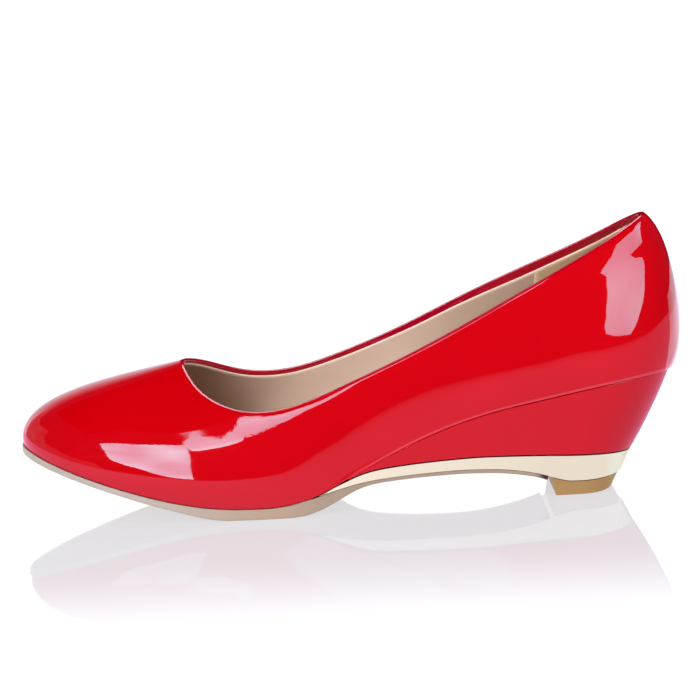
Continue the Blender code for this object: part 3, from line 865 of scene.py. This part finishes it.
def corner(x, start, end, front, back, r=1.1):
    """Half width lost where a square end has rounded corners."""
    x = np.asarray(x, float)
    lost = np.zeros_like(x)
    if front:
        d = np.clip(x - start, 0, r)
        lost += r - np.sqrt(np.clip(r * r - (r - d) ** 2, 0, None))
    if back:
        d = np.clip(end - x, 0, r)
        lost += r - np.sqrt(np.clip(r * r - (r - d) ** 2, 0, None))
    return lost


def outline(start, end, lateral, medial, n, toe, seat, r=1.1):
    x = dense(start, end, 6000)
    f = ends(x, start, end, toe, seat)
    cut = corner(x, start, end, not toe, not seat, r)
    yl = swing(x) - (lateral(x) - cut) * f
    share = (by_turn(x, np.stack([x, yl], 1), n) - start) / (end - start)
    return share


def edges(share, start, end, lateral, medial, toe, seat, r=1.1):
    x = start + share * (end - start)
    f = ends(x, start, end, toe, seat)
    cut = corner(x, start, end, not toe, not seat, r)
    return (x, swing(x) - (lateral(x) - cut) * f,
            swing(x) + (medial(x) - cut) * f)


def ring_of(x, yl, ym, tips):
    """Closed outline: outer edge forwards to back, inner edge back again."""
    outer = np.stack([x, yl], 1)
    inner_edge = np.stack([x, ym], 1)[::-1]
    if tips[1]:
        inner_edge = inner_edge[1:]
    if tips[0]:
        inner_edge = inner_edge[:-1]
    return np.concatenate([outer, inner_edge])


def outward(ring):
    nxt, prv = np.roll(ring, -1, 0), np.roll(ring, 1, 0)
    d1 = nxt - ring
    d0 = ring - prv
    d1 /= np.maximum(np.linalg.norm(d1, axis=1), 1e-9)[:, None]
    d0 /= np.maximum(np.linalg.norm(d0, axis=1), 1e-9)[:, None]
    t = d0 + d1
    t /= np.maximum(np.linalg.norm(t, axis=1), 1e-9)[:, None]
    return np.stack([t[:, 1], -t[:, 0]], 1)


def rolled(name, foot, top, foot_z, top_z, tips, r_foot, r_top, material,
           belly=None, walls=6, bulge=None):
    """Body between two outlines with rolled edges.

    foot and top are (x, y outer, y inner) at equal shares; belly moves the
    middle of the back face; face is 1 on the bottom cap and the lower part of its
    rolled edge, 0 elsewhere.
    """
    fr, tr = ring_of(*foot, tips), ring_of(*top, tips)
    fz, tz = foot_z(fr[:, 0], fr[:, 1]), top_z(tr[:, 0], tr[:, 1])
    fn, tn = outward(fr), outward(tr)
    low, high = np.column_stack([fr, fz]), np.column_stack([tr, tz])
    gap = np.linalg.norm(high - low, axis=1)
    rf = np.minimum(r_foot, 0.45 * gap)
    rt = np.minimum(r_top, 0.45 * gap)
    levels, face = [], []

    def wall(dist):
        t = dist / np.maximum(gap, 1e-6)
        p = low + (high - low) * t[:, None]
        if belly is not None:
            p[:, 0] += belly(fr) * 4 * t * (1 - t)
        if bulge:
            n = fn * (1 - t)[:, None] + tn * t[:, None]
            p[:, :2] += n * (bulge * 4 * t * (1 - t))[:, None]
        return p

    for deg in (0, 18, 36, 54, 72, 90):
        a = math.radians(deg)
        p = wall(rf * (1 - math.cos(a)))
        p[:, :2] -= fn * (rf * (1 - math.sin(a)))[:, None]
        levels.append(p)
        face.append(1.0 if deg < 30 else 0.0)
    for k in range(1, walls):
        levels.append(wall(rf + (gap - rf - rt) * k / walls))
        face.append(0.0)
    for deg in (90, 72, 54, 36, 18, 0):
        a = math.radians(deg)
        p = wall(gap - rt * (1 - math.cos(a)))
        p[:, :2] -= tn * (rt * (1 - math.sin(a)))[:, None]
        levels.append(p)
        face.append(0.0)
    n = len(fr)
    verts = np.concatenate(levels)
    faces = sheet_faces(len(levels), n, closed=True)
    k = len(foot[0])
    # Ladders that close the bottom and the top.
    for base, flip in ((0, True), ((len(levels) - 1) * n, False)):
        first = 0 if not tips[0] else 0
        for i in range(k - 1):
            o0, o1 = i, i + 1
            if tips[1]:
                j0, j1 = (2 * k - 2) - i, (2 * k - 2) - (i + 1)
            else:
                j0, j1 = (2 * k - 1) - i, (2 * k - 1) - (i + 1)
            ids = [o0, o1, j1, j0]
            clean = []
            for v in ids:
                v = v % n if tips[0] else v
                if v not in clean:
                    clean.append(v)
            if len(clean) > 2:
                q = [base + v for v in clean]
                faces.append(tuple(q[::-1] if flip else q))
    obj = make(name, verts, faces, material)
    mark(obj, "face", np.repeat(face, n))
    wn = obj.modifiers.new("normals", "WEIGHTED_NORMAL")
    wn.weight = 60
    wn.keep_sharp = True
    return obj


def last_half(side, less=0.0):
    return lambda x: smooth_spline(LAST, side, x) - less


def sole_half(side):
    def half(x):
        front = smooth_spline(LAST, side, x) + SOLE_PROUD
        rear = smooth_spline(BAND, "foot_" + side, np.clip(x, 105, 230)) - 0.5
        b = step_up(x, 98, 114)
        return front * (1 - b) + rear * b
    return half


def sole_top(x, y):
    under_upper = height(SEAT, x, y) - CLOSE
    under_band = height(BAND_FOOT, x, y) - 0.5 * GAP
    b = step_up(x, 102.0, 107.5)
    return under_upper * (1 - b) + under_band * b


def sole_foot(x, y):
    return height(TREAD, x, y)


share = outline(0.0, SOLE_BACK, sole_half("lateral"), sole_half("medial"), 230,
                (TOE_ROUND, TOE_FULL), None)
ed = edges(share, 0.0, SOLE_BACK, sole_half("lateral"), sole_half("medial"),
           (TOE_ROUND, TOE_FULL), None)
outsole = rolled("outsole_board", ed, ed, sole_foot, sole_top, (True, False),
                  0.8, 0.2, SOLE)
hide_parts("outsole")


def band_half(edge, side):
    return lambda x: smooth_spline(BAND, edge + "_" + side, x)


def band_top(x, y):
    return np.minimum(height(SEAT, x, y) - GAP, height(BAND_TOP, x, y))


share = outline(BAND_START, BAND_END, band_half("top", "lateral"),
                band_half("top", "medial"), 200, None, (26.0, SEAT_FULL))
band_up = edges(share, BAND_START, BAND_END, band_half("top", "lateral"),
                band_half("top", "medial"), None, (26.0, SEAT_FULL))
band_lo = edges(share, BAND_START, BAND_FOOT_END, band_half("foot", "lateral"),
                band_half("foot", "medial"), None, (24.0, SEAT_FULL))
band = rolled("heel_band_plate", band_lo, band_up,
              lambda x, y: height(BAND_FOOT, x, y), band_top, (False, True),
              0.3, 0.28, GOLD)
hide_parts("heel_band")


def wedge_foot(x, y):
    return height(BAND_TOP, x, y) + GAP


def wedge_top(x, y):
    return np.maximum(height(SEAT, x, y) - CLOSE, wedge_foot(x, y) + 0.15)


share = outline(WEDGE_START, WEDGE_END, last_half("lateral", 0.3),
                last_half("medial", 0.3), 230, None, (SEAT_ROUND, SEAT_FULL))
wedge_hi = edges(share, WEDGE_START, WEDGE_END, last_half("lateral", 0.3),
                 last_half("medial", 0.3), None, (SEAT_ROUND, SEAT_FULL))
wedge_lo = edges(share, WEDGE_START, BAND_END + 0.2,
                 lambda x: band_half("top", "lateral")(x) + 0.2,
                 lambda x: band_half("top", "medial")(x) + 0.2,
                 None, (26.0, SEAT_FULL))


def wedge_belly(ring):
    u = np.clip((ring[:, 0] - WEDGE_START) / (BAND_END + 0.2 - WEDGE_START), 0, 1)
    return BELLY * u ** 8


wedge = rolled("wedge_cover", wedge_lo, wedge_hi, wedge_foot, wedge_top,
               (False, True), 0.4, 0.35, RED_WEDGE,
               belly=wedge_belly, walls=16)
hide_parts("wedge")

lift_half = lambda side, less: (lambda x: band_half("foot", side)(x) - less)
share = outline(LIFT_FRONT, LIFT_BACK, lift_half("lateral", 0.5),
                lift_half("medial", 0.5), 90, None, (22.0, SEAT_FULL), 1.0)
lift_hi = edges(share, LIFT_FRONT, LIFT_BACK, lift_half("lateral", 0.5),
                lift_half("medial", 0.5), None, (22.0, SEAT_FULL), 1.0)
lift_lo = edges(share, LIFT_FOOT_FRONT, LIFT_FOOT_BACK, lift_half("lateral", 2.6),
                 lift_half("medial", 2.6), None, (15.0, 2.6), 1.0)
lift = rolled("top_lift_block", lift_lo, lift_hi, lambda x, y: 0.0 * x,
              lambda x, y: height(BAND_FOOT, x, y) - GAP, (False, True),
              0.35, 0.15, LIFT)
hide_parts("top_lift")

# CAD nodes stay hidden behind their pieces; they still get the same finishes.
for node, mat in (("upper", RED), ("insole", SOCK), ("outsole", SOLE),
                  ("wedge", RED_WEDGE), ("heel_band", GOLD), ("top_lift", LIFT)):
    obj = frame["nodes"][node]
    obj.data.materials.clear()
    obj.data.materials.append(mat)


# ------------------------------------------------------------ floor, sweep
def stage_mesh(name, verts, faces, material):
    mesh = bpy.data.meshes.new(name)
    mesh.from_pydata(verts, [], faces)
    obj = bpy.data.objects.new(name, mesh)
    bpy.context.scene.collection.objects.link(obj)
    mesh.materials.append(material)
    return obj


def position(nt):
    tc = nt.nodes.new("ShaderNodeTexCoord")
    sep = nt.nodes.new("ShaderNodeSeparateXYZ")
    nt.links.new(tc.outputs["Object"], sep.inputs[0])
    return sep


def fade(nt, value, lo, hi, low, high):
    mr = add(nt, "ShaderNodeMapRange", interpolation_type="SMOOTHSTEP")
    nt.links.new(value, mr.inputs["Value"])
    for key, v in (("From Min", lo), ("From Max", hi), ("To Min", low),
                   ("To Max", high)):
        mr.inputs[key].default_value = v
    return mr.outputs[0]


MIRROR, BEHIND = 0.13, 3.0    # polish of the floor, light it mirrors


def floor_material():
    """Bright white sheet, polished under the shoe and matt further off."""
    mat = bpy.data.materials.new("floor_white")
    mat.use_nodes = True
    nt = mat.node_tree
    nt.nodes.clear()
    out = nt.nodes.new("ShaderNodeOutputMaterial")
    sep = position(nt)
    near = fade(nt, sep.outputs["Y"], -0.24, -0.10, 0.0, MIRROR)
    far = fade(nt, sep.outputs["Y"], 0.30, 0.70, 1.0, 0.0)
    polish = product(nt, near, far)
    glow = add(nt, "ShaderNodeEmission", Color=(1, 1, 1.05, 1))
    nt.links.new(product(nt, polish, -BEHIND, 1.0), glow.inputs["Strength"])
    flat = add(nt, "ShaderNodeBsdfDiffuse", Color=(0.12, 0.12, 0.12, 1))
    shine = add(nt, "ShaderNodeBsdfGlossy", Roughness=0.04)
    tint = nt.nodes.new("ShaderNodeCombineColor")
    nt.links.new(polish, tint.inputs[0])
    nt.links.new(polish, tint.inputs[1])
    nt.links.new(product(nt, polish, 0.87), tint.inputs[2])
    nt.links.new(tint.outputs[0], shine.inputs["Color"])
    first = nt.nodes.new("ShaderNodeAddShader")
    both = nt.nodes.new("ShaderNodeAddShader")
    nt.links.new(glow.outputs[0], first.inputs[0])
    nt.links.new(flat.outputs[0], first.inputs[1])
    nt.links.new(first.outputs[0], both.inputs[0])
    nt.links.new(shine.outputs[0], both.inputs[1])
    nt.links.new(both.outputs[0], out.inputs[0])
    return mat


def glow_material(name, colour, strength):
    mat = bpy.data.materials.new(name)
    mat.use_nodes = True
    nt = mat.node_tree
    nt.nodes.clear()
    out = nt.nodes.new("ShaderNodeOutputMaterial")
    glow = add(nt, "ShaderNodeEmission", Color=(*colour, 1), Strength=strength)
    nt.links.new(glow.outputs[0], out.inputs[0])
    return mat


def sheer_glow(name, colour):
    """Glow that hides nothing behind it, so that panels can stand in a row."""
    mat = glow_material(name, colour, 1.0)
    nt = mat.node_tree
    glow = next(n for n in nt.nodes if n.type == "EMISSION")
    out = next(n for n in nt.nodes if n.type == "OUTPUT_MATERIAL")
    both = nt.nodes.new("ShaderNodeAddShader")
    nt.links.new(glow.outputs[0], both.inputs[0])
    nt.links.new(nt.nodes.new("ShaderNodeBsdfTransparent").outputs[0], both.inputs[1])
    nt.links.new(both.outputs[0], out.inputs[0])
    return mat, nt, glow, position(nt)


def haze_material(name, colour, strength):
    """Pale wall behind the shoe that fades out upwards."""
    mat, nt, glow, sep = sheer_glow(name, colour)
    nt.links.new(fade(nt, sep.outputs["Z"], 0.45, 1.7, strength, 0.0),
                 glow.inputs["Strength"])
    return mat


def sheen_floor_material(name, colour):
    """What the gloss sees of the floor: bright round the shoe, dark in front."""
    mat, nt, glow, sep = sheer_glow(name, colour)
    front = fade(nt, sep.outputs["Y"], -1.15, -0.22, 0.0, 1.0)
    length = fade(nt, sep.outputs["X"], -0.22, 0.10, 1.55, 0.90)
    nt.links.new(product(nt, front, length), glow.inputs["Strength"])
    return mat


def only_gloss(obj):
    obj.visible_camera = False
    obj.visible_diffuse = False
    obj.visible_shadow = False
    return obj


def shine_on(lamp, *pieces):
    """Only these pieces take light from the lamp or mirror it."""
    takers = bpy.data.collections.new(lamp.name + "_takers")
    for piece in pieces:
        takers.objects.link(piece)
    lamp.light_linking.receiver_collection = takers
    return lamp


REDS = (upper_skin, collar_fold, wedge)
TRIM = (band, outsole, lift)
INSIDE = (lining, heel_lining, sock)


sheet = [(-6, -4, 0), (6, -4, 0), (6, 3, 0), (-6, 3, 0)]
floor = stage_mesh("floor", sheet, [(0, 1, 2, 3)], floor_material())
floor.visible_glossy = False
for name, colour, drop, takers in (
        ("floor_in_patent", (0.95, 0.50, 0.78), -0.0005, REDS),
        ("floor_in_metal", (0.99, 0.93, 0.84), -0.001, TRIM)):
    shine_on(only_gloss(stage_mesh(name, [(x, y, drop) for x, y, z in sheet],
                                   [(0, 1, 2, 3)], sheen_floor_material(name, colour))),
             *takers)
sweep_pts = [(2.0, 0.0015), (2.3, 0.02), (2.6, 0.10), (2.8, 0.24), (2.92, 0.45),
             (2.98, 0.8), (3.0, 1.2), (3.0, 4.4)]
sv = [(x, y, z) for y, z in sweep_pts for x in (-6.0, 6.0)]
sf = [(2 * i, 2 * i + 1, 2 * i + 3, 2 * i + 2) for i in range(len(sweep_pts) - 1)]
sweep = stage_mesh("backdrop", sv, sf, glow_material("backdrop_white", (1, 1, 1), 1.08))
sweep.visible_glossy = False

# The light panel behind is mirrored by the floor alone.
panel = only_gloss(stage_mesh(
    "panel_behind", [(-1.6, 1.9, 0.01), (1.6, 1.9, 0.01), (1.6, 1.9, 1.3),
                     (-1.6, 1.9, 1.3)], [(0, 1, 2, 3)],
    glow_material("panel_glow", (1, 1, 1), BEHIND)))
shine_on(panel, floor)

# Softboxes seen in the gloss.  They only shine into reflections; the even
# light on the shoe comes from the area lights below.
BOX_TINT = (0.30, 0.86, 1.0)
BODY = (upper_skin, wedge)


def silk_material(name, colour, strength):
    """A lamp behind silk: a little brighter in some parts than in others."""
    mat = glow_material(name, colour, strength)
    nt = mat.node_tree
    glow = next(n for n in nt.nodes if n.type == "EMISSION")
    cloth = noise_tex(nt, object_coords(nt), 1.7, 1.0)
    mr = add(nt, "ShaderNodeMapRange")
    nt.links.new(cloth, mr.inputs["Value"])
    mr.inputs["From Min"].default_value = 0.3
    mr.inputs["From Max"].default_value = 0.7
    mr.inputs["To Min"].default_value = 0.78 * strength
    mr.inputs["To Max"].default_value = 1.2 * strength
    nt.links.new(mr.outputs[0], glow.inputs["Strength"])
    hue = ramp(nt, cloth, [(0.3, tuple(v * f for v, f in zip(colour, (1.1, 0.8, 0.9)))),
                           (0.7, colour)])
    nt.links.new(hue, glow.inputs["Color"])
    return mat


def softbox(name, pts, strength, tint=BOX_TINT, faces=None, takers=BODY):
    box = only_gloss(stage_mesh(name, pts, faces or [tuple(range(len(pts)))],
                                silk_material(name + "_glow", tint, strength)))
    return shine_on(box, *takers)


def curved_box(name, outline, middle, strength, tint=BOX_TINT, far=2.2,
               takers=BODY):
    """Softbox bent round the shoe; outline in degrees round from the front
    (towards the heel positive) and degrees up."""
    dirs = []
    for turn_, rise in outline:
        a, e = math.radians(turn_), math.radians(rise)
        dirs.append(Vector((math.sin(a) * math.cos(e), -math.cos(a) * math.cos(e),
                            math.sin(e))))
    mid = sum(dirs, Vector()).normalized()
    side = mid.orthogonal().normalized()
    up_ = mid.cross(side)
    flat = [Vector((d.dot(side), d.dot(up_), 0)) / (1 + d.dot(mid)) for d in dirs]
    faces = [tuple(f) for f in tessellate_polygon([flat])]
    return softbox(name, [tuple(Vector(middle) + d * far) for d in dirs], strength,
                   tint, faces, takers)


curved_box("softbox_front", [
    (-48, 39), (-41, 43), (-36, 44), (-27, 48), (-18, 49), (-16, 42), (-14, 28),
    (-14, 14), (-14, 0), (-17, 0), (-22, 1), (-25, 3), (-29, 7), (-32, 10),
    (-35, 12), (-38, 15), (-40, 18), (-43, 29)], (-0.075, -0.03, 0.02), 14.5)
softbox("softbox_strip", [(x, y, 1.8) for x, y in (
    (-0.20, -1.78), (-0.20, -1.20), (-0.30, -0.70), (-0.33, -0.80), (-0.475, -0.83),
    (-0.485, -1.0), (-0.495, -1.15), (-0.515, -1.24), (-0.54, -1.30),
    (-0.553, -1.42), (-0.57, -1.55), (-0.59, -1.75), (-0.605, -2.03),
    (-0.43, -2.03), (-0.385, -1.82))], 13.5)
curved_box("softbox_heel", [
    (109, 47), (89, 49), (80, 45), (78, 42), (57, 47), (41, 49), (52, 42),
    (68, 36), (69, 31), (62, 25), (57, 19), (49, 13), (42, 7), (34, 2), (21, 3),
    (14, 4), (9, 6), (8, 12), (9, 18), (9, 25), (10, 34),
    (10, 40), (10, 43), (5, 46.5), (8, 51), (14, 57), (20, 67), (36, 67), (67, 61)],
    (0.085, -0.02, 0.06), 8.0, (0.20, 0.80, 0.97), 0.9)
curved_box("wall_toe", [
    (-150, -0.4), (-150, 28), (-122, 29), (-98, 34), (-96, 25), (-91, 15), (-72, 10),
    (-55, 6), (-46, 7), (-44, -0.4), (-85, -0.4), (-120, -0.4)], (-0.11, -0.01, 0.03),
    0.5, (0.95, 0.62, 0.75))
curved_box("wall_heel", [(110, 4), (135, 3), (150, 0), (170, -3), (170, -30),
                         (150, -32), (122, -26), (112, -16)],
           (0.119, -0.012, 0.065), 1.7, (0.45, 0.88, 0.95), 1.5, (upper_skin,))
wall = only_gloss(stage_mesh(
    "wall_behind", [(-1.7, 1.6, 0.0), (0.0, 1.6, 0.0), (0.0, 1.6, 1.75),
                    (-1.7, 1.6, 1.75)], [(0, 1, 2, 3)],
    haze_material("wall_haze", (0.55, 0.80, 0.90), 1.4)))
shine_on(wall, upper_skin)
# Overhead panel that only the rolled edge of the collar picks out.
softbox("softbox_over", [(-1.6, -0.8, 1.9), (1.6, -0.8, 1.9), (1.6, 1.3, 1.9),
                         (-1.6, 1.3, 1.9)], 9.0, (0.75, 0.85, 0.9),
        takers=(collar_fold,))


def area(name, place, aim, size, power, tint=(1, 1, 1), glossy=False):
    data = bpy.data.lights.new(name, "AREA")
    data.shape = "RECTANGLE"
    data.size, data.size_y = size
    data.energy = power
    data.color = tint
    obj = bpy.data.objects.new(name, data)
    bpy.context.scene.collection.objects.link(obj)
    obj.location = place
    obj.rotation_euler = (Vector(aim) - Vector(place)).to_track_quat(
        "-Z", "Y").to_euler()
    obj.visible_glossy = glossy
    return obj


area("fill_top", (0.2, -0.2, 2.2), (0, 0, 0), (1.6, 1.6), 15)
area("fill_left", (-1.4, -2.0, 1.3), (0, 0, 0.05), (2.0, 1.6), 48)
area("fill_right", (1.9, -1.9, 1.0), (0, 0, 0.05), (2.0, 1.6), 29)
area("fill_back", (0.0, 2.0, 1.4), (0, 0, 0.05), (3.0, 1.8), 16)
shine_on(area("fill_inside", (-0.55, -0.55, 1.3), (0.02, 0.02, 0.06), (0.5, 0.5), 9),
         *INSIDE)

room = bpy.data.worlds.new("room")
room.use_nodes = True
bg = room.node_tree.nodes["Background"]
bg.inputs["Color"].default_value = (0.018, 0.034, 0.075, 1)
bg.inputs["Strength"].default_value = 1.0
bpy.context.scene.world = room

# ------------------------------------------------------------------ camera
YAW, ELEV, ROLL = (math.radians(v) for v in (0.91, 9.62, 2.52))
aim = Vector((-0.000055, 0.000904, 0.035))
back_dir = Vector((-math.sin(YAW) * math.cos(ELEV), -math.cos(YAW) * math.cos(ELEV),
                   math.sin(ELEV)))
right = Vector((math.cos(YAW), -math.sin(YAW), 0))
up = back_dir.cross(right)
right_rolled = right * math.cos(ROLL) - up * math.sin(ROLL)
up_rolled = right * math.sin(ROLL) + up * math.cos(ROLL)
cam_data = bpy.data.cameras.new("camera")
cam_data.sensor_width = 36.0
cam_data.lens = 161.74
cam_data.shift_x = -0.00186
cam_data.shift_y = 0.0744
cam_data.clip_start = 0.01
cam = bpy.data.objects.new("camera", cam_data)
bpy.context.scene.collection.objects.link(cam)
pose = Matrix((right_rolled, up_rolled, back_dir)).transposed().to_4x4()
pose.translation = aim + back_dir * 1.169
cam.matrix_world = pose
bpy.context.scene.camera = cam
bpy.context.scene.view_settings.view_transform = "Standard"
